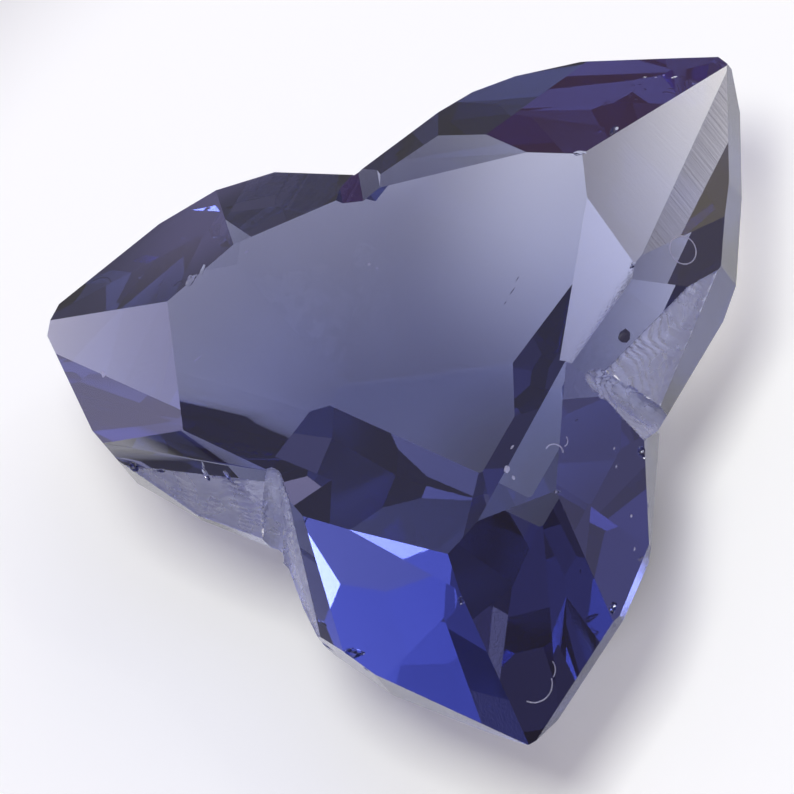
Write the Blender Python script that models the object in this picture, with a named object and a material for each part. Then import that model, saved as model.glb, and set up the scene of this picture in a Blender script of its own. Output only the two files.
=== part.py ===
"""A loose cut sapphire: one trefoil crystal with a polished table and three pointed lobes.

The stone is level, table up, and stands on its small flat culet. Heights are measured from
the girdle at the tips while the stone is cut, and the finished stone is then lifted so that
the culet lies at z = 0. A facet is given the way a cutter sets it: the azimuth it faces, its
slope from the horizontal, and its reach, the distance from the axis at girdle height.
"""

import math

import bmesh
import bpy
from mathutils import Matrix, Vector

MM = 0.001

# The block that the facets are cut from, in millimetres.
BLOCK_WIDTH = 16.0
BLOCK_HEIGHT = 14.0

# Driving dimensions, in millimetres and degrees.
TIP_RADIUS = 6.86
TABLE_HEIGHT = 1.45
CULET_DEPTH = 3.2
SECTOR_OVERLAP = 0.02

# The three lobes: the azimuth of the tip, and of the notches to its right and left.
LOBES = {
    "right": (0.0, -60.0, 64.0),
    "left": (120.0, 64.0, 179.0),
    "lower": (240.0, 179.0, 300.0),
}

# Upright girdle facets of each lobe: azimuth from the lobe's own tip, and reach.
GIRDLE = {
    "right": (
        (-72.2, 3.63),
        (-49.3, 4.65),
        (-43.2, 4.96),
        (41.5, 5.36),
        (54.0, 4.8),
        (68.8, 4.12),
        (87.6, 3.1),
    ),
    "left": (
        (-94.4, 2.64),
        (-68.0, 4.06),
        (-56.6, 4.63),
        (-41.0, 5.41),
        (41.0, 5.34),
        (53.0, 4.78),
        (68.0, 3.97),
        (78.0, 3.54),
    ),
    "lower": (
        (-77.2, 3.77),
        (-54.2, 4.57),
        (-44.3, 4.93),
        (38.9, 5.17),
        (55.4, 4.44),
        (73.8, 3.61),
    ),
}

# Crown facets of each lobe: azimuth from the lobe's own tip, slope, reach.
CROWN = {
    "right": (
        (-38.0, 33.5, 5.39),
        (-43.9, 41.0, 4.93),
        (-53.4, 23.5, 5.95),
        (-52.0, 45.0, 4.58),
        (-67.5, 48.0, 4.02),
        (36.2, 33.0, 5.55),
        (52.2, 22.7, 6.26),
        (45.4, 35.9, 5.22),
        (65.0, 35.3, 4.93),
    ),
    "left": (
        (-37.0, 35.7, 5.49),
        (-57.0, 35.3, 4.93),
        (23.0, 31.0, 6.33),
        (73.8, 60.8, 3.73),
    ),
    "lower": (
        (-35.5, 33.4, 5.52),
        (-37.8, 39.0, 5.1),
        (-66.2, 54.0, 4.2),
        (31.2, 34.3, 5.29),
        (46.4, 23.1, 6.05),
        (60.0, 47.75, 4.055),
    ),
}

# Pavilion facets, cut right across the stone: azimuth, slope, reach.
PAVILION = (
    (45.5, 34.1, 5.21),
    (82.3, 46.4, 5.85),
    (108.0, 30.7, 7.35),
    (156.4, 37.3, 6.29),
    (185.6, 47.5, 5.31),
    (194.7, 30.4, 6.43),
    (209.4, 31.6, 6.57),
    (236.1, 29.2, 7.15),
    (284.9, 36.8, 5.37),
    (317.8, 32.2, 6.06),
)

# Ground notches. Each has two steep walls above its waist and two below it, given as
# facets, and a round root: the azimuth, slope and reach of its axis, and its radius.
NOTCHES = (
    {
        "above": ((284.0, 69.0, 3.42), (340.0, 73.0, 2.6)),
        "below": ((284.0, 62.0, 3.95), (311.0, 62.0, 3.95)),
        "root": (299.0, 72.5, 3.58, 0.2),
    },
    {
        "above": ((196.0, 66.0, 3.55), (155.0, 70.0, 3.27)),
        "below": ((196.0, 55.0, 3.89), (155.0, 60.0, 3.75)),
        "root": (178.0, 68.0, 3.79, 0.2),
    },
)

# A shallow nick in the table's edge, over the third notch: azimuth, slope, reach, radius.
NICK = (63.0, 28.0, 7.68, 1.07)
ROUND_STEPS = 20

SAPPHIRE_BLUE = (0.045, 0.06, 0.30, 1.0)


def clear_scene():
    for found in list(bpy.data.objects):
        bpy.data.objects.remove(found, do_unlink=True)


def new_collection(name):
    collection = bpy.data.collections.new(name)
    bpy.context.scene.collection.children.link(collection)
    return collection


def direction(azimuth):
    angle = math.radians(azimuth)
    return Vector((math.cos(angle), math.sin(angle), 0.0))


def block():
    """A closed block, larger than the stone, for the facets to be cut from."""
    bm = bmesh.new()
    size = Vector((BLOCK_WIDTH, BLOCK_WIDTH, BLOCK_HEIGHT)) * MM
    bmesh.ops.create_cube(bm, size=1.0, matrix=Matrix.Diagonal(size).to_4x4())
    return bm


def cut(bm, point, normal, keep_outside=False):
    """Grinds away one side of a plane, and closes the new face."""
    everything = bm.verts[:] + bm.edges[:] + bm.faces[:]
    found = bmesh.ops.bisect_plane(
        bm,
        geom=everything,
        dist=1e-9,
        plane_co=point,
        plane_no=normal,
        clear_outer=not keep_outside,
        clear_inner=keep_outside,
    )
    rim = [item for item in found["geom_cut"] if isinstance(item, bmesh.types.BMEdge)]
    if rim:
        bmesh.ops.edgeloop_fill(bm, edges=rim)


def cut_facet(bm, facet, side=1, turn=0.0, keep_outside=False):
    """Cuts one facet. side is 1 above the girdle and -1 below it."""
    azimuth, slope, reach = facet
    outward = direction(azimuth + turn)
    angle = math.radians(slope)
    normal = outward * math.sin(angle) + Vector((0.0, 0.0, side * math.cos(angle)))
    cut(bm, outward * reach * MM, normal, keep_outside)


def cut_upright(bm, azimuth, reach):
    """Cuts one upright face that looks away from the axis."""
    outward = direction(azimuth)
    cut(bm, outward * reach * MM, outward)


def lobe(name):
    """One lobe of the stone, from its tip back to the axis, with its own crown facets."""
    tip, right_notch, left_notch = LOBES[name]
    bm = block()
    cut_upright(bm, tip, TIP_RADIUS)
    for azimuth, reach in GIRDLE[name]:
        cut_upright(bm, tip + azimuth, reach)
    cut_upright(bm, right_notch - 90.0, SECTOR_OVERLAP)
    cut_upright(bm, left_notch + 90.0, SECTOR_OVERLAP)
    for facet in CROWN[name]:
        cut_facet(bm, facet, turn=tip)
    return bm


def table_and_pavilion():
    """The convex body that the table, the pavilion facets and the culet bound together."""
    bm = block()
    cut(bm, Vector((0.0, 0.0, TABLE_HEIGHT)) * MM, Vector((0.0, 0.0, 1.0)))
    for facet in PAVILION:
        cut_facet(bm, facet, side=-1)
    cut(bm, Vector((0.0, 0.0, -CULET_DEPTH)) * MM, Vector((0.0, 0.0, -1.0)))
    return bm


def wedge(walls, side):
    """The space beyond two walls: what a ground notch takes away above or below its waist."""
    bm = block()
    for wall in walls:
        cut_facet(bm, wall, side=side, keep_outside=True)
    return bm


def round_tool(azimuth, slope, reach, radius):
    """A round tool that lies along a notch's root and leans out as it goes down."""
    bm = bmesh.new()
    bmesh.ops.create_cone(
        bm,
        cap_ends=True,
        segments=ROUND_STEPS,
        radius1=radius * MM,
        radius2=radius * MM,
        depth=BLOCK_WIDTH * MM,
    )
    place = Matrix.Translation(direction(azimuth) * reach * MM)
    turn = Matrix.Rotation(math.radians(azimuth), 4, "Z")
    lean = Matrix.Rotation(math.radians(slope - 90.0), 4, "Y")
    bmesh.ops.transform(bm, matrix=place @ turn @ lean, verts=bm.verts)
    return bm


def mesh_object(name, bm, collection):
    bmesh.ops.recalc_face_normals(bm, faces=bm.faces)
    mesh = bpy.data.meshes.new(name)
    bm.to_mesh(mesh)
    bm.free()
    made = bpy.data.objects.new(name, mesh)
    collection.objects.link(made)
    return made


def boolean(stone, other, operation):
    modifier = stone.modifiers.new(f"{operation.lower()} {other.name}", "BOOLEAN")
    modifier.operation = operation
    modifier.solver = "EXACT"
    modifier.object = other
    other.hide_render = True
    other.display_type = "WIRE"


def sapphire_material():
    material = bpy.data.materials.new("polished sapphire")
    material.use_nodes = True
    shader = material.node_tree.nodes["Principled BSDF"]
    shader.inputs["Base Color"].default_value = SAPPHIRE_BLUE
    shader.inputs["Roughness"].default_value = 0.03
    shader.inputs["Metallic"].default_value = 0.0
    shader.inputs["IOR"].default_value = 1.77
    shader.inputs["Transmission Weight"].default_value = 1.0
    return material


def main():
    clear_scene()
    parts = new_collection("blue sapphire")
    cutters = new_collection("cutters")

    stone = mesh_object("sapphire", lobe("right"), parts)
    for name in ("left", "lower"):
        boolean(stone, mesh_object(f"lobe_{name}", lobe(name), cutters), "UNION")
    boolean(stone, mesh_object("table_and_pavilion", table_and_pavilion(), cutters), "INTERSECT")
    for index, notch in enumerate(NOTCHES, start=1):
        tools = {
            "above": wedge(notch["above"], 1),
            "below": wedge(notch["below"], -1),
            "root": round_tool(*notch["root"]),
        }
        for name, bm in tools.items():
            boolean(stone, mesh_object(f"notch_{index}_{name}", bm, cutters), "DIFFERENCE")
    boolean(stone, mesh_object("nick", round_tool(*NICK), cutters), "DIFFERENCE")
    stone.data.materials.append(sapphire_material())
    for made in list(parts.objects) + list(cutters.objects):
        made.location.z = CULET_DEPTH * MM


main()
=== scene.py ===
# %% [markdown]
# A loose cut sapphire, about 12 mm across, lying on a pale floor with its table up. A measured
# solid gives the place of every facet. This lesson turns it into the stone that the eye sees:
# clear blue corundum with crisp facet edges, ground notches, the lines that polishing left,
# small chips, and a few things that are sealed inside.

import math
import random

import bmesh
import bpy
from mathutils import Matrix, Vector, noise
from mathutils.bvhtree import BVHTree


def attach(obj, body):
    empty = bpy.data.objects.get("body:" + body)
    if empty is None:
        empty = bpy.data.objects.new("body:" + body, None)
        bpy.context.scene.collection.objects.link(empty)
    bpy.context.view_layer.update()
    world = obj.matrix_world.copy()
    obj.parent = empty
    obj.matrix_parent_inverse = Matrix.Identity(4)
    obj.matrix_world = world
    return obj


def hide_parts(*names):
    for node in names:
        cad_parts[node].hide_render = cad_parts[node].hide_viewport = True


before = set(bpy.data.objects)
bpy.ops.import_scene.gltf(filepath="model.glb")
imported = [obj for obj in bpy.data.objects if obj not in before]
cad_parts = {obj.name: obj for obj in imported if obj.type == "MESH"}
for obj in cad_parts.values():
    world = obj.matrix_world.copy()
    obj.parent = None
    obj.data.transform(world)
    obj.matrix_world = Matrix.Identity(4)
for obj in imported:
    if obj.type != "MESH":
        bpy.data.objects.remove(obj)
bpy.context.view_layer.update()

# %% [markdown]
# The stone's own directions are used everywhere below. Its axis is upright, the girdle plane
# lies 3.2 mm above the floor, and the tips of its three lobes point to 0, 120 and 240 degrees.
# A facet is named the way a cutter names it, by the azimuth that it faces and its slope.

# %% Directions and facets
MM = 0.001
GIRDLE_HEIGHT = 3.2 * MM
UP = Vector((0.0, 0.0, 1.0))


def direction(azimuth, elevation=0.0):
    a, e = math.radians(azimuth), math.radians(elevation)
    return Vector((math.cos(a) * math.cos(e), math.sin(a) * math.cos(e), math.sin(e)))


def facet_normal(azimuth, slope):
    return direction(azimuth, 90.0 - slope)


# %% [markdown]
# The camera looks down at the table from 60 degrees above the floor. A long lens keeps edges
# that are parallel on the stone nearly parallel in the picture. The stone lies turned in the
# frame, and that is a roll of the camera about its own axis, so the stone itself stays square
# to the room.

# %% Camera
PICTURE_SIZE = 794
PIXELS_PER_MM = 62.3
AXIS_AT = (437.7, 375.3)
CAMERA_AZIMUTH = -98.55
CAMERA_ELEVATION = 60.0
CAMERA_ROLL = math.radians(39.3)
CAMERA_DISTANCE = 0.45
SENSOR_WIDTH = 36.0

toward_camera = direction(CAMERA_AZIMUTH, CAMERA_ELEVATION)
level = direction(CAMERA_AZIMUTH + 90.0)
rising = toward_camera.cross(level)
picture_right = level * math.cos(CAMERA_ROLL) - rising * math.sin(CAMERA_ROLL)
picture_up = level * math.sin(CAMERA_ROLL) + rising * math.cos(CAMERA_ROLL)


def picture_point(x, y):
    """The point of the plane through the girdle's middle that shows at a picture position."""
    right = (x - AXIS_AT[0]) / PIXELS_PER_MM * MM
    down = (y - AXIS_AT[1]) / PIXELS_PER_MM * MM
    return UP * GIRDLE_HEIGHT + picture_right * right - picture_up * down


camera_data = bpy.data.cameras.new("long_lens")
camera_data.sensor_width = SENSOR_WIDTH
camera_data.lens = SENSOR_WIDTH * CAMERA_DISTANCE * PIXELS_PER_MM / PICTURE_SIZE / MM
camera_data.clip_start = 0.01
camera_data.clip_end = 5.0
camera = bpy.data.objects.new("camera", camera_data)
bpy.context.scene.collection.objects.link(camera)
place = Matrix((picture_right, picture_up, toward_camera)).transposed().to_4x4()
middle = picture_point(PICTURE_SIZE / 2, PICTURE_SIZE / 2)
place.translation = middle + toward_camera * CAMERA_DISTANCE
camera.matrix_world = place
bpy.context.scene.camera = camera
print("lens, mm:", round(camera_data.lens))

# %% [markdown]
# Every material is built with two helpers: one turns a colour's hex code into the linear
# values that shaders use, and one adds a node with its settings and its incoming links.

# %% Colours and nodes


def srgb(code):
    values = [int(code[i : i + 2], 16) / 255 for i in (1, 3, 5)]
    return [v / 12.92 if v <= 0.04045 else ((v + 0.055) / 1.055) ** 2.4 for v in values] + [1.0]


def add_node(owner, kind, settings=None, links=None):
    node = owner.node_tree.nodes.new(kind)
    for key, value in (settings or {}).items():
        if isinstance(key, int) or key in node.inputs:
            node.inputs[key].default_value = value
        else:
            setattr(node, key, value)
    for key, socket in (links or {}).items():
        owner.node_tree.links.new(socket, node.inputs[key])
    return node


def new_material(name):
    material = bpy.data.materials.new(name)
    material.use_nodes = True
    return material, material.node_tree.nodes["Principled BSDF"]


# %% [markdown]
# Sapphire is corundum. It bends light strongly, with an IOR of 1.77, and that is what makes
# the pavilion facets mirror the room back through the table. The blue isn't on the surface:
# light loses its red and green on the way through, so the colour is a Volume Absorption inside
# and the surface stays white glass. The stone is one crystal, so it has one material. If its
# facets had a material each, light that came in through one and left through another would
# never be counted as out again, and would go on losing colour in the air.

# %% Sapphire body
CORUNDUM_IOR = 1.77
BODY_DENSITY = 330.0
BODY_COLOUR = srgb("#7c8cc9")

corundum, corundum_shader = new_material("corundum_lapped_and_ground")
corundum_shader.inputs["IOR"].default_value = CORUNDUM_IOR
body = add_node(
    corundum,
    "ShaderNodeVolumeAbsorption",
    {"Color": BODY_COLOUR, "Density": BODY_DENSITY},
)
surface_out = corundum.node_tree.nodes["Material Output"]
corundum.node_tree.links.new(body.outputs["Volume"], surface_out.inputs["Volume"])
print("light left after 5 mm of stone:")
print([round(math.exp(-BODY_DENSITY * (1.0 - c) * 5 * MM), 3) for c in BODY_COLOUR[:3]])

# %% [markdown]
# The finish still differs from face to face. Three numbers on each face carry that: the
# direction of its polishing lines, their depth in millimetres, and how far the face is ground
# instead of polished. Attribute nodes read them, so that one material shows every finish.
#
# A polished facet was rubbed with fine grit on a turning lap, which leaves long parallel lines,
# far too shallow to feel, that stretch a highlight across them. Here they are noise drawn out
# along the lap's direction. They lie 0.045 mm apart, coarser than real ones, so that they show.

# %% Lines of the lap
LINE_SPACING = 0.045 * MM
LINE_LENGTH = 2.5 * MM

where = add_node(corundum, "ShaderNodeTexCoord")
lap_angle = add_node(corundum, "ShaderNodeAttribute", {"attribute_name": "lap_angle"})
line_depth = add_node(corundum, "ShaderNodeAttribute", {"attribute_name": "line_depth"})
ground = add_node(corundum, "ShaderNodeAttribute", {"attribute_name": "ground"})
turned = add_node(
    corundum,
    "ShaderNodeVectorRotate",
    {"rotation_type": "Z_AXIS"},
    {"Vector": where.outputs["Object"], "Angle": lap_angle.outputs["Fac"]},
)
drawn_out = add_node(
    corundum,
    "ShaderNodeMapping",
    {"Scale": (1.0 / LINE_LENGTH, 1.0 / LINE_SPACING, 1.0 / LINE_LENGTH)},
    {"Vector": turned.outputs["Vector"]},
)
lines = add_node(
    corundum,
    "ShaderNodeTexNoise",
    {"Scale": 1.0, "Detail": 3.0, "Roughness": 0.6},
    {"Vector": drawn_out.outputs["Vector"]},
)
line_height = add_node(
    corundum,
    "ShaderNodeMath",
    {"operation": "MULTIPLY"},
    {0: lines.outputs["Fac"], 1: line_depth.outputs["Fac"]},
)

# %% [markdown]
# The notches were ground with a fine point, and the girdle was only rounded on a coarser wheel.
# Grit leaves a skin of tiny pits that scatters light, so these faces look whitish and frosted
# where the polished ones look clear. The pits are noise 0.05 mm across, and a slower noise lets
# some patches be duller than others. A ground skin also sends back part of the light that
# reaches it, which is why less of it goes through: the transmission falls as the grinding rises.

# %% Ground skin
GRAIN = 0.05 * MM
PATCH = 0.4 * MM
GROUND_ROUGHNESS = (0.12, 0.45)
GRAIN_DEPTH_MM = 0.012
SCATTERED_PART = 0.3
GROUND_TINT = srgb("#e0e4fb")

grains = add_node(
    corundum,
    "ShaderNodeTexNoise",
    {"Scale": 1.0 / GRAIN, "Detail": 4.0, "Roughness": 0.65},
    {"Vector": where.outputs["Object"]},
)
patches = add_node(
    corundum,
    "ShaderNodeTexNoise",
    {"Scale": 1.0 / PATCH, "Detail": 2.0},
    {"Vector": where.outputs["Object"]},
)
dullness = add_node(
    corundum,
    "ShaderNodeMapRange",
    {
        "From Min": 0.35,
        "From Max": 0.65,
        "To Min": GROUND_ROUGHNESS[0],
        "To Max": GROUND_ROUGHNESS[1],
    },
    {"Value": patches.outputs["Fac"]},
)
roughness = add_node(
    corundum,
    "ShaderNodeMath",
    {"operation": "MULTIPLY"},
    {0: dullness.outputs["Result"], 1: ground.outputs["Fac"]},
)
clearness = add_node(
    corundum,
    "ShaderNodeMapRange",
    {"To Min": 1.0, "To Max": 1.0 - SCATTERED_PART},
    {"Value": ground.outputs["Fac"]},
)
grain_depth = add_node(
    corundum,
    "ShaderNodeMath",
    {"operation": "MULTIPLY", 1: GRAIN_DEPTH_MM},
    {0: ground.outputs["Fac"]},
)
height = add_node(
    corundum,
    "ShaderNodeMath",
    {"operation": "MULTIPLY_ADD"},
    {0: grains.outputs["Fac"], 1: grain_depth.outputs["Value"], 2: line_height.outputs["Value"]},
)
relief = add_node(
    corundum,
    "ShaderNodeBump",
    {"Strength": 1.0, "Distance": MM},
    {"Height": height.outputs["Value"]},
)
skin_colour = add_node(
    corundum,
    "ShaderNodeMix",
    {"data_type": "RGBA", 6: srgb("#ffffff"), 7: GROUND_TINT},
    {0: ground.outputs["Fac"]},
)
corundum.node_tree.links.new(skin_colour.outputs[2], corundum_shader.inputs["Base Color"])
corundum.node_tree.links.new(roughness.outputs["Value"], corundum_shader.inputs["Roughness"])
corundum.node_tree.links.new(
    clearness.outputs["Result"], corundum_shader.inputs["Transmission Weight"]
)
corundum.node_tree.links.new(relief.outputs["Normal"], corundum_shader.inputs["Normal"])

# %% [markdown]
# The stone starts from a copy of the measured solid, so that no facet moves. Its loose
# triangles are merged, and faces that lie in one plane become one facet again. The search tree
# finds the surface point that shows at any place in the picture.

# %% Stone from the measured solid
MERGE_WITHIN = 2e-6
SAME_PLANE = math.radians(0.3)

bm = bmesh.new()
bm.from_mesh(bpy.data.objects["sapphire"].data)
bmesh.ops.remove_doubles(bm, verts=bm.verts, dist=MERGE_WITHIN)
bmesh.ops.dissolve_limit(bm, angle_limit=SAME_PLANE, verts=bm.verts, edges=bm.edges)
surface = BVHTree.FromBMesh(bm)
stone_mesh = bpy.data.meshes.new("cut_sapphire")
bm.to_mesh(stone_mesh)
bm.free()
stone = bpy.data.objects.new("cut_sapphire", stone_mesh)
bpy.context.scene.collection.objects.link(stone)
print("facets:", len(stone_mesh.polygons))


def seen_at(x, y):
    """The point and the normal of the stone's surface at a picture position."""
    start = picture_point(x, y) + toward_camera * 0.03
    point, normal, _, _ = surface.ray_cast(start, -toward_camera)
    return point, normal


# %% [markdown]
# Sapphire is hard but brittle, so a knock takes a shell-shaped chip out of a sharp edge. Each
# chip is a lumpy ball that a Boolean takes out of the stone, with its centre just outside the
# edge, where the photograph shows the mark: at the table's corners, along the ridges, and on
# the lower rims. The lumps come from smooth noise, so that no chip is round.

# %% Chips
# picture position of each chip, and its radius in mm
CHIPS = (
    (580, 153, 0.1),
    (614, 130, 0.11),
    (645, 77, 0.045),
    (675, 77, 0.05),
    (190, 280, 0.12),
    (202, 270, 0.09),
    (632, 265, 0.07),
    (133, 468, 0.12),
    (160, 471, 0.1),
    (205, 473, 0.13),
    (228, 477, 0.1),
    (326, 645, 0.12),
    (352, 652, 0.14),
    (366, 668, 0.08),
    (461, 599, 0.07),
    (556, 491, 0.05),
    (612, 606, 0.08),
    (613, 624, 0.06),
    (641, 452, 0.07),
    (647, 505, 0.06),
    (640, 558, 0.07),
)
CHIP_LUMPS = 0.5
LUMPS_ON_A_CHIP = 1.3
CHIP_LIFT = 0.3
CHIP_LENGTH = (1.0, 2.0)
CHIP_WIDTH = (0.5, 1.0)
CHIP_THICKNESS = (0.4, 0.8)
chance = random.Random(7)

bm = bmesh.new()
for index, (x, y, radius) in enumerate(CHIPS):
    hit, normal = seen_at(x, y)
    if hit is None:
        continue
    centre = hit + normal * radius * MM * CHIP_LIFT
    ball = bmesh.ops.create_icosphere(bm, subdivisions=3, radius=radius * MM)["verts"]
    own_place = Vector((7.0 * index, 0.0, 0.0))
    for vert in ball:
        lump = noise.noise(vert.co / (radius * MM) * LUMPS_ON_A_CHIP + own_place)
        vert.co *= 1.0 + CHIP_LUMPS * lump
    shape = Vector([chance.uniform(*span) for span in (CHIP_LENGTH, CHIP_WIDTH, CHIP_THICKNESS)])
    stretch = Matrix.Diagonal(shape).to_4x4()
    turn = Matrix.Rotation(chance.uniform(0.0, math.pi), 4, normal)
    tilt = normal.to_track_quat("Z", "Y").to_matrix().to_4x4()
    seat = Matrix.Translation(centre) @ turn @ tilt @ stretch
    bmesh.ops.transform(bm, matrix=seat, verts=ball)
chip_mesh = bpy.data.meshes.new("chip_tools")
bm.to_mesh(chip_mesh)
bm.free()
chip_tools = bpy.data.objects.new("chip_tools", chip_mesh)
bpy.context.scene.collection.objects.link(chip_tools)
chipping = stone.modifiers.new("chips", "BOOLEAN")
chipping.operation = "DIFFERENCE"
chipping.solver = "EXACT"
chipping.use_self = True
chipping.object = chip_tools
bpy.context.view_layer.update()
graph = bpy.context.evaluated_depsgraph_get()
bm = bmesh.new()
bm.from_mesh(stone.evaluated_get(graph).to_mesh())
stone.modifiers.clear()
bpy.data.objects.remove(chip_tools, do_unlink=True)
print("faces after chipping:", len(bm.faces))

# %% [markdown]
# Each face now gets its three numbers from the way it lies. The four walls of the two notches
# are known by their normals, the girdle faces stand upright, the table is level, and what looks
# down is the pavilion. Two crown facets of the first lobe were polished in a hurry and keep
# deep lines, and the one between it and the table is grainy. The lap's direction was different
# for each facet, and here it follows from the facet's own azimuth.

# %% Finish of each face
WALLS = tuple(facet_normal(a, s) for a, s in ((284, 69), (340, 73), (196, 66), (155, 70)))
STREAKED_FACET = facet_normal(-43.9, 41.0)
CLOSE_LINED_FACET = facet_normal(-38.0, 33.5)
GRAINY_FACET = facet_normal(-53.4, 23.5)
ALIKE = 0.9996
LEVEL = 0.999
UPRIGHT = 0.02
ROOT_REACH = 1.15
GIRDLE_GROUND = 0.2
WORN_EDGE = 0.35
GRAINY_GROUND = 0.2
LAP_TURN = math.radians(55.0)
LINE_DEPTH_MM = {
    "table": 0.00006,
    "crown": 0.0001,
    "pavilion": 0.00003,
    "streaked": 0.001,
    "close_lined": 0.0005,
    "grainy": 0.001,
}

# each notch's round root: azimuth, slope and reach of its axis, and its radius in mm
ROOTS = ((299.0, 72.5, 3.58, 0.2), (178.0, 68.0, 3.79, 0.2))


def in_root(point):
    """True for a point on the round root of either notch."""
    for azimuth, slope, reach, radius in ROOTS:
        foot = direction(azimuth) * reach * MM + UP * GIRDLE_HEIGHT
        axis = direction(azimuth, slope + 2.0 * (90.0 - slope))
        offset = point - foot
        if (offset - axis * offset.dot(axis)).length < ROOT_REACH * radius * MM:
            return True
    return False


is_ground = bm.faces.layers.float.new("ground")
has_lines = bm.faces.layers.float.new("line_depth")
lies_along = bm.faces.layers.float.new("lap_angle")


def finish_of(normal):
    """How far a face is ground, and the name of its polish."""
    if any(normal.dot(wall) > ALIKE for wall in WALLS):
        return 1.0, "pavilion"
    if abs(normal.z) < UPRIGHT:
        return GIRDLE_GROUND, "crown"
    if normal.dot(STREAKED_FACET) > ALIKE:
        return 0.0, "streaked"
    if normal.dot(CLOSE_LINED_FACET) > ALIKE:
        return 0.0, "close_lined"
    if normal.dot(GRAINY_FACET) > ALIKE:
        return GRAINY_GROUND, "grainy"
    if normal.z > LEVEL:
        return 0.0, "table"
    return 0.0, "crown" if normal.z > 0.0 else "pavilion"


for face in bm.faces:
    face.normal_update()
    grinding, polish = finish_of(face.normal)
    if all(in_root(vert.co) for vert in face.verts):
        grinding = 1.0
    face[is_ground] = grinding
    face[has_lines] = LINE_DEPTH_MM[polish]
    face[lies_along] = -math.atan2(face.normal.y, face.normal.x) + LAP_TURN

# %% [markdown]
# No real edge is perfectly sharp. The long facet edges get a bevel of 0.018 mm, just wide
# enough to catch a thin bright line. Wear has dulled these edges a little, so their faces are
# part ground. The tight little faces of the chips and of the notch roots are left as they are.

# %% Facet edges
EDGE_WIDTH = 0.018 * MM
LONG_EDGE = 0.45 * MM
SMALL_FACE = 0.3 * MM
SHARP = math.radians(6.0)

long_edges = [
    edge
    for edge in bm.edges
    if len(edge.link_faces) == 2
    and edge.calc_length() > LONG_EDGE
    and edge.calc_face_angle(0.0) > SHARP
    and not any(face[is_ground] == 1.0 for face in edge.link_faces)
    and all(face.calc_area() > SMALL_FACE**2 for face in edge.link_faces)
]
worn = bmesh.ops.bevel(
    bm,
    geom=long_edges,
    offset=EDGE_WIDTH,
    offset_type="OFFSET",
    affect="EDGES",
    segments=1,
    profile=0.5,
    material=-1,
    clamp_overlap=True,
)
for face in worn["faces"]:
    face[is_ground] = WORN_EDGE
print("bevelled edges:", len(long_edges), "faces:", len(bm.faces))

# %% [markdown]
# The ground walls aren't flat. The point skidded as it cut and left ripples across the wall,
# about 0.17 mm apart and deepest near its upper edge, with rough patches between them. A bump
# map would do for the small grit, but the ripples show in the outline of the wall's edge, so
# they are real shape: bisect_plane slices the walls into a fine grid, and the grid's points
# are pushed into the stone. Points on a wall's rim move less, so the next facets stay flat.

# %% Notch walls
GRID = 0.035 * MM
RIPPLE_SPACING = 0.17
RIPPLE_DEPTH = 0.045
RIPPLE_SLANT = 0.5
RIPPLE_WANDER = 0.25
RIPPLED_FROM = 2.9
ROUGH_DEPTH = 0.03
ROUGH_PER_MM = 5.0
RIM_SHARE = 0.15
WALLS_RUN = 35.0


def slice_wall(bm, along):
    """Cuts the notch walls across one direction, every grid step."""
    faces = [f for f in bm.faces if f[is_ground] == 1.0]
    reach = [v.co.dot(along) for f in faces for v in f.verts]
    at = min(reach) + GRID
    while at < max(reach):
        faces = [f for f in bm.faces if f[is_ground] == 1.0]
        edges = {e for f in faces for e in f.edges}
        verts = {v for f in faces for v in f.verts}
        bmesh.ops.bisect_plane(
            bm,
            geom=list(verts) + list(edges) + faces,
            dist=1e-8,
            plane_co=along * at,
            plane_no=along,
        )
        at += GRID


slice_wall(bm, UP)
slice_wall(bm, direction(WALLS_RUN))
bm.normal_update()
wall_points = {v: f.normal.copy() for f in bm.faces if f[is_ground] == 1.0 for v in f.verts}
moves = {}
for vert, normal in wall_points.items():
    rim = any(face[is_ground] != 1.0 for face in vert.link_faces)
    at = vert.co / MM
    across = normal.cross(UP).normalized()
    travel = at.dot(across) + RIPPLE_SLANT * at.z + RIPPLE_WANDER * noise.noise(at * 2.1)
    ripple = abs(math.sin(math.pi * travel / RIPPLE_SPACING))
    patch = (0.6 + noise.noise(at * 1.7)) * min(1.0, max(0.1, at.z - RIPPLED_FROM))
    rough = 0.5 + 0.5 * noise.fractal(at * ROUGH_PER_MM, 0.9, 2.0, 3)
    depth = RIPPLE_DEPTH * ripple * max(0.0, patch) + ROUGH_DEPTH * max(0.0, rough)
    moves[vert] = normal * -depth * MM * (RIM_SHARE if rim else 1.0)
for vert, move in moves.items():
    vert.co += move
print("points on the ground walls:", len(moves))

# %% [markdown]
# The chips, the bevels and the walls are now one closed mesh. A clear stone shows every gap as
# a black or a bright patch, so the edges that lack a second face are counted: there must be
# none. The finished stone takes the place of the measured solid.

# %% Finished stone
open_edges = sum(len(edge.link_faces) != 2 for edge in bm.edges)
bm.to_mesh(stone_mesh)
bm.free()
stone_mesh.materials.append(corundum)
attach(stone, "root")
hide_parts("sapphire")
print("open edges:", open_edges, "faces:", len(stone_mesh.polygons))

# %% [markdown]
# Natural stones hold small foreign things. Here they are a thin pale ring, a dark crystal,
# some pale flecks and short curved films. A mark painted on the facet would look flat, so each
# is a tiny closed solid sealed just under the facet, and the facet's own gloss lies over it.
# The pale material gives a soft white fleck and the dark one a nearly black spot.

# %% Sealed-in materials
SEALED_ROUGHNESS = 0.35


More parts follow.
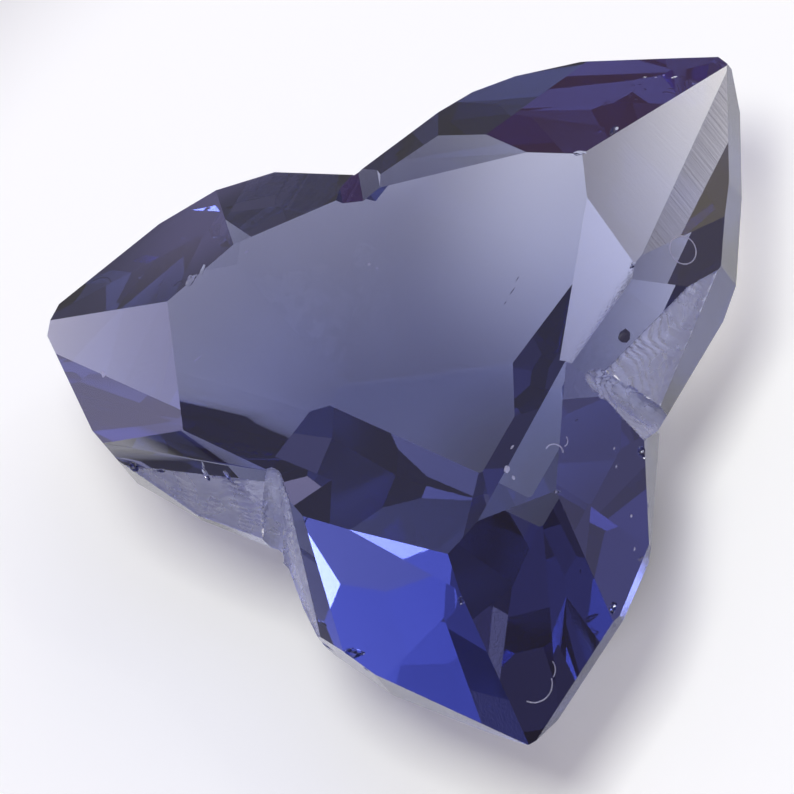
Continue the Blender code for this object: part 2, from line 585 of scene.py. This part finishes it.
def sealed(name, light, dark, mottle_size):
    """A mineral grain's finish: two tones mottled by noise, with a slight gloss."""
    material, shader = new_material(name)
    where = add_node(material, "ShaderNodeTexCoord")
    mottle = add_node(
        material,
        "ShaderNodeTexNoise",
        {"Scale": 1.0 / mottle_size, "Detail": 3.0},
        {"Vector": where.outputs["Object"]},
    )
    tone = add_node(
        material,
        "ShaderNodeMix",
        {"data_type": "RGBA", 6: srgb(dark), 7: srgb(light)},
        {0: mottle.outputs["Fac"]},
    )
    material.node_tree.links.new(tone.outputs[2], shader.inputs["Base Color"])
    shader.inputs["Roughness"].default_value = SEALED_ROUGHNESS
    return material


pale_film = sealed("calcite_pale_film", "#f4f2fa", "#c4c4da", 0.05 * MM)
dark_crystal = sealed("rutile_dark_crystal", "#1b1430", "#07050f", MM / 9.0)

# %% [markdown]
# Three kinds of thing are placed by the picture position where they show. The search tree gives
# the facet there, and the thing goes a few hundredths of a millimetre under it, lying flat with
# the facet, as a healed crack or a flat crystal would.

# %% Sealed-in shapes
GRAIN_LUMPS = 0.35
WIRE_SIDES = 8
DEGREES_PER_STEP = 12


def facet_frame(x, y, depth, turn):
    """A place just under the facet seen at a picture position, turned within the facet."""
    hit, normal = seen_at(x, y)
    side = normal.cross(UP if normal.z < LEVEL else picture_up).normalized()
    rise = normal.cross(side)
    seat = Matrix((side, rise, normal)).transposed().to_4x4()
    seat.translation = hit - normal * depth * MM
    return seat @ Matrix.Rotation(math.radians(turn), 4, "Z")


def add_grain(bm, x, y, depth, turn, size):
    """A lumpy flat grain. Its size is given as length, width and thickness in mm."""
    scale = Matrix.Diagonal(Vector(size) * 0.5 * MM).to_4x4()
    made = bmesh.ops.create_icosphere(bm, subdivisions=2, radius=1.0)["verts"]
    for vert in made:
        vert.co *= 1.0 + GRAIN_LUMPS * noise.noise(vert.co * 1.4 + Vector((x, y, 0.0)))
    bmesh.ops.transform(bm, matrix=facet_frame(x, y, depth, turn) @ scale, verts=made)


def add_arc(bm, radius, sweep, thickness):
    """A round wire bent into part of a ring: a circle that is spun about the ring's middle."""
    seat = Matrix.Translation((radius * MM, 0.0, 0.0)) @ Matrix.Rotation(math.pi / 2, 4, "X")
    circle = bmesh.ops.create_circle(
        bm,
        cap_ends=sweep < 360,
        segments=WIRE_SIDES,
        radius=thickness / 2 * MM,
        matrix=seat,
    )["verts"]
    edges = {e for v in circle for e in v.link_edges}
    faces = {f for v in circle for f in v.link_faces}
    bmesh.ops.spin(
        bm,
        geom=list(circle) + list(edges) + list(faces),
        cent=(0.0, 0.0, 0.0),
        axis=(0.0, 0.0, 1.0),
        angle=math.radians(sweep),
        steps=max(8, int(sweep / DEGREES_PER_STEP)),
        use_merge=sweep >= 360,
        use_duplicate=False,
    )


def sealed_piece(name, material, bm):
    """Makes one closed piece of all the shapes of a kind, and fastens it to the stone."""
    bmesh.ops.recalc_face_normals(bm, faces=bm.faces)
    mesh = bpy.data.meshes.new(name)
    bm.to_mesh(mesh)
    bm.free()
    mesh.materials.append(material)
    made = bpy.data.objects.new(name, mesh)
    bpy.context.scene.collection.objects.link(made)
    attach(made, "root")
    print(name, "faces:", len(mesh.polygons))


# %% [markdown]
# Pale specks of another mineral sit along the edges of the lower lobe and near the tips. They
# are small balls, pressed flat and made uneven by smooth noise.

# %% Pale grains
# picture position, depth, turn, then length, width and thickness, all in mm and degrees
PALE_GRAINS = (
    (197, 358, 0.06, 40.0, (0.16, 0.03, 0.02)),
    (101, 374, 0.08, 10.0, (0.12, 0.08, 0.03)),
    (368, 263, 0.1, 0.0, (0.06, 0.05, 0.02)),
    (376, 267, 0.1, 0.0, (0.05, 0.03, 0.02)),
    (246, 251, 0.05, 30.0, (0.08, 0.03, 0.02)),
    (510, 445, 0.15, 60.0, (0.09, 0.04, 0.02)),
    (507, 468, 0.15, 15.0, (0.12, 0.07, 0.03)),
    (513, 476, 0.15, 50.0, (0.08, 0.05, 0.03)),
    (614, 448, 0.05, 0.0, (0.05, 0.03, 0.02)),
    (616, 466, 0.05, 0.0, (0.06, 0.03, 0.02)),
    (631, 515, 0.05, 0.0, (0.05, 0.04, 0.02)),
    (634, 548, 0.05, 0.0, (0.06, 0.03, 0.02)),
    (556, 491, 0.05, 0.0, (0.05, 0.03, 0.02)),
    (656, 76, 0.05, 0.0, (0.05, 0.03, 0.02)),
    (664, 74, 0.05, 0.0, (0.04, 0.03, 0.02)),
)
bm = bmesh.new()
for grain in PALE_GRAINS:
    add_grain(bm, *grain)
sealed_piece("pale_grains", pale_film, bm)

# %% [markdown]
# One round dark crystal lies under the first lobe's facet, and three short dark needles cross
# the table in a row. The same grain shape makes them, drawn out thin for the needles.

# %% Dark crystals
DARK_CRYSTALS = (
    (625, 336, 0.12, 0.0, (0.24, 0.2, 0.08)),
    (516, 278, 0.1, 65.0, (0.1, 0.012, 0.01)),
    (511, 290, 0.1, 60.0, (0.15, 0.014, 0.01)),
    (504, 302, 0.1, 55.0, (0.06, 0.012, 0.01)),
    (219, 495, 0.08, 0.0, (0.1, 0.08, 0.05)),
)
bm = bmesh.new()
for crystal in DARK_CRYSTALS:
    add_grain(bm, *crystal)
sealed_piece("dark_crystals", dark_crystal, bm)

# %% [markdown]
# Healed cracks have curled edges that catch the light as thin pale arcs, and one of them closes
# into a ring. Each is a small circle that the spin operator carries round, so the ring is
# joined to itself and an arc has a cap at each end.

# %% Curved films
# picture position, depth, turn, radius, sweep and thickness
CURVED_FILMS = (
    (683, 250, 0.05, 0.0, 0.235, 360.0, 0.022),
    (533, 682, 0.05, 20.0, 0.3, 130.0, 0.022),
    (541, 668, 0.05, 100.0, 0.22, 70.0, 0.018),
    (553, 452, 0.05, 120.0, 0.14, 150.0, 0.022),
    (562, 440, 0.05, 40.0, 0.1, 110.0, 0.02),
)
bm = bmesh.new()
for x, y, depth, turn, radius, sweep, thickness in CURVED_FILMS:
    part = bmesh.new()
    add_arc(part, radius, sweep, thickness)
    bmesh.ops.transform(part, matrix=facet_frame(x, y, depth, turn), verts=part.verts)
    scrap = bpy.data.meshes.new("film")
    part.to_mesh(scrap)
    part.free()
    bm.from_mesh(scrap)
    bpy.data.meshes.remove(scrap)
sealed_piece("curved_films", pale_film, bm)

# %% [markdown]
# The stone rests on its culet on a plain floor. The floor lies 0.02 mm below the culet: two
# faces in exactly the same plane would make the renderer choose between them at random, and
# the stone would look peppered with dots.

# %% Floor
FLOOR_DROP = 0.02 * MM
FLOOR_SIZE = 0.6

bm = bmesh.new()
bmesh.ops.create_grid(bm, x_segments=1, y_segments=1, size=FLOOR_SIZE)
bmesh.ops.translate(bm, vec=-UP * FLOOR_DROP, verts=bm.verts)
floor_mesh = bpy.data.meshes.new("floor")
bm.to_mesh(floor_mesh)
bm.free()
floor = bpy.data.objects.new("floor", floor_mesh)
bpy.context.scene.collection.objects.link(floor)
print("floor below the culet, mm:", round(FLOOR_DROP / MM, 3))

# %% [markdown]
# The floor is matt white paper. It matters as much as the lamps, because the window of the
# stone, the table, shows the paper under it. A real stone gathers the lamp's light and throws
# it on the paper as a warm patch, with shade where the culet nearly touches. A path tracer
# finds that light only by chance and leaves noise, so here that light and shade are painted on
# the paper: a painted glow, weak all over and stronger in one round patch, and a painted
# contact shadow in another. Further off, a painted falloff of light turns the paper dark, with
# one painted pool of lamp light on it. That is outside the picture but is what the steep facets
# mirror.

# %% Paper, with painted light and shade
PAPER_NEAR = srgb("#eff1e6")
# painted shade: far from the stone, a painted falloff of light fades the paper to this dark tone
PAPER_IN_PAINTED_SHADE = srgb("#6c6970")
# painted pool of lamp light on the far paper, in this lavender
PAINTED_LAMP_POOL_COLOUR = srgb("#b1aad4")
PAINTED_LIGHT_POOL_EDGE = (10.5, 17.0)
PAPER_ROUGHNESS = 0.9
# painted light: the paper glows though it is no lamp, a little all over and more where the stone
# would gather the lamp's light
PAINTED_GLOW_COLOUR = srgb("#fffcf1")
PAINTED_GLOW_ALL_OVER = 0.13
PAINTED_CAUSTIC_GLOW = 0.5
CONTACT_SHADE = 0.85

paper, paper_shader = new_material("matt_white_paper_with_painted_light")
paper_shader.inputs["Roughness"].default_value = PAPER_ROUGHNESS
paper_shader.inputs["Emission Color"].default_value = PAINTED_GLOW_COLOUR
paper_place = add_node(paper, "ShaderNodeTexCoord")


def spot(centre, inner, outer):
    """1 within the inner radius of a place on the paper, and 0 beyond the outer one."""
    gap = add_node(
        paper,
        "ShaderNodeVectorMath",
        {"operation": "DISTANCE", 1: (centre[0] * MM, centre[1] * MM, 0.0)},
        {0: paper_place.outputs["Object"]},
    )
    fade = add_node(
        paper,
        "ShaderNodeMapRange",
        {
            "interpolation_type": "SMOOTHSTEP",
            "From Min": inner * MM,
            "From Max": outer * MM,
            "To Min": 1.0,
            "To Max": 0.0,
        },
        {"Value": gap.outputs["Value"]},
    )
    return fade.outputs["Result"]


# places in mm from the stone's axis, and the inner and outer radius in mm
# painted pool of light round the stone, with painted shade beyond its outer edge
painted_light_pool = spot((0.0, 0.0), *PAINTED_LIGHT_POOL_EDGE)
# painted pool of lamp light, far off on the paper
painted_lamp_pool = spot((3.9, 22.2), 2.0, 5.0)
# painted caustic patch, where the stone would throw the lamp's light on the paper
painted_caustic_patch = spot((3.4, 0.7), 0.6, 3.3)
# painted contact shadow where the culet nearly touches the paper
painted_contact_shadow = spot((-0.5, -2.0), 0.6, 2.4)
# the far paper: painted shade with the painted pool of lamp light on it
beyond = add_node(
    paper,
    "ShaderNodeMix",
    {"data_type": "RGBA", 6: PAPER_IN_PAINTED_SHADE, 7: PAINTED_LAMP_POOL_COLOUR},
    {0: painted_lamp_pool},
)
tone = add_node(
    paper,
    "ShaderNodeMix",
    {"data_type": "RGBA", 7: PAPER_NEAR},
    {0: painted_light_pool, 6: beyond.outputs[2]},
)
shaded = add_node(
    paper,
    "ShaderNodeMapRange",
    {"To Min": 0.0, "To Max": CONTACT_SHADE},
    {"Value": painted_contact_shadow},
)
darkened = add_node(
    paper,
    "ShaderNodeMix",
    {"data_type": "RGBA", 7: srgb("#000000")},
    {0: shaded.outputs["Result"], 6: tone.outputs[2]},
)
# painted glow of the paper: emission in place of light that the lamps would bring
painted_glow = add_node(
    paper,
    "ShaderNodeMath",
    {"operation": "MULTIPLY_ADD", 1: PAINTED_CAUSTIC_GLOW, 2: PAINTED_GLOW_ALL_OVER},
    {0: painted_caustic_patch},
)
paper.node_tree.links.new(darkened.outputs[2], paper_shader.inputs["Base Color"])
paper.node_tree.links.new(painted_glow.outputs["Value"], paper_shader.inputs["Emission Strength"])
floor_mesh.materials.append(paper)
print("paper's nodes:", len(paper.node_tree.nodes))

# %% [markdown]
# The room is a dim lavender grey with soft patches of light on its walls, and each patch is
# there for the facets that mirror it: the warm one for the bright facets of the first lobe, the
# blue ones for the deep blue of the lower lobe. One large lamp overhead lights the paper and
# gives the soft shade round the stone. Two very small ones leave a white spark on the chips.

# %% Light
LAMP_DISTANCE = 0.5
ROOM = srgb("#7c7386")
BRIGHT_CORE = 0.4
# soft patches of light on the walls: azimuth, elevation, half width, strength, colour
WALL_LIGHTS = (
    (0.0, 32.0, 34.0, 1.1, "#fff3da"),
    (345.0, 56.0, 24.0, 1.0, "#bcc4ff"),
    (5.0, 70.0, 20.0, 1.3, "#a5b4ff"),
    (80.0, 62.0, 34.0, 0.34, "#b7bdff"),
    (114.0, 10.0, 22.0, 1.8, "#cfcbff"),
    (22.0, 8.0, 22.0, 0.5, "#ffebdc"),
    (320.0, 8.0, 20.0, 0.85, "#b6b6ff"),
    (60.0, 2.0, 14.0, 0.16, "#ff97f0"),
    (174.0, 28.0, 20.0, 0.5, "#004aff"),
)

world = bpy.data.worlds.new("studio")
bpy.context.scene.world = world
world.use_nodes = True


def wall_light(below, azimuth, elevation, half_width, strength, colour):
    """Adds a soft round patch of light to what the room's background shows."""
    where = add_node(world, "ShaderNodeTexCoord")
    nearness = add_node(
        world,
        "ShaderNodeVectorMath",
        {"operation": "DOT_PRODUCT", 1: direction(azimuth, elevation)},
        {0: where.outputs["Generated"]},
    )
    edge = add_node(
        world,
        "ShaderNodeMapRange",
        {
            "interpolation_type": "SMOOTHSTEP",
            "From Min": math.cos(math.radians(half_width)),
            "From Max": math.cos(math.radians(BRIGHT_CORE * half_width)),
            "To Max": strength,
        },
        {"Value": nearness.outputs["Value"]},
    )
    added = add_node(
        world,
        "ShaderNodeVectorMath",
        {"operation": "MULTIPLY_ADD", 0: srgb(colour)[:3]},
        {1: edge.outputs["Result"], 2: below},
    )
    return added.outputs["Vector"]


room_wall = add_node(world, "ShaderNodeRGB")
room_wall.outputs[0].default_value = ROOM
seen = room_wall.outputs[0]
for patch in WALL_LIGHTS:
    seen = wall_light(seen, *patch)
background = world.node_tree.nodes["Background"]
world.node_tree.links.new(seen, background.inputs["Color"])


def softbox(name, azimuth, elevation, spread, radiance):
    """A square lamp: its spread is the angle that it fills, seen from the stone."""
    data = bpy.data.lights.new(name, "AREA")
    data.shape = "SQUARE"
    data.size = 2 * LAMP_DISTANCE * math.tan(math.radians(spread / 2))
    data.energy = radiance * math.pi * data.size**2
    lamp = bpy.data.objects.new(name, data)
    aim = direction(azimuth, elevation)
    lamp.location = aim * LAMP_DISTANCE
    lamp.rotation_mode = "QUATERNION"
    lamp.rotation_quaternion = aim.to_track_quat("Z", "Y")
    bpy.context.scene.collection.objects.link(lamp)
    print(name, "lamp, mm across:", round(data.size / MM))


softbox("top", 280.0, 84.0, 20.0, 14.0)
softbox("spark", 336.0, 51.0, 4.0, 15.0)
softbox("second_spark", 4.0, 49.0, 2.5, 8.0)

# %% [markdown]
# A ray is mirrored many times inside a stone with this IOR before it gets out. With the usual
# dozen bounces those rays would be cut off and leave black facets, so more are allowed.

# %% Light paths
settings = bpy.context.scene.cycles
settings.max_bounces = 32
settings.glossy_bounces = 24
settings.transmission_bounces = 24
print("bounces inside the stone:", settings.transmission_bounces)
bpy.context.scene.view_settings.view_transform = "Standard"
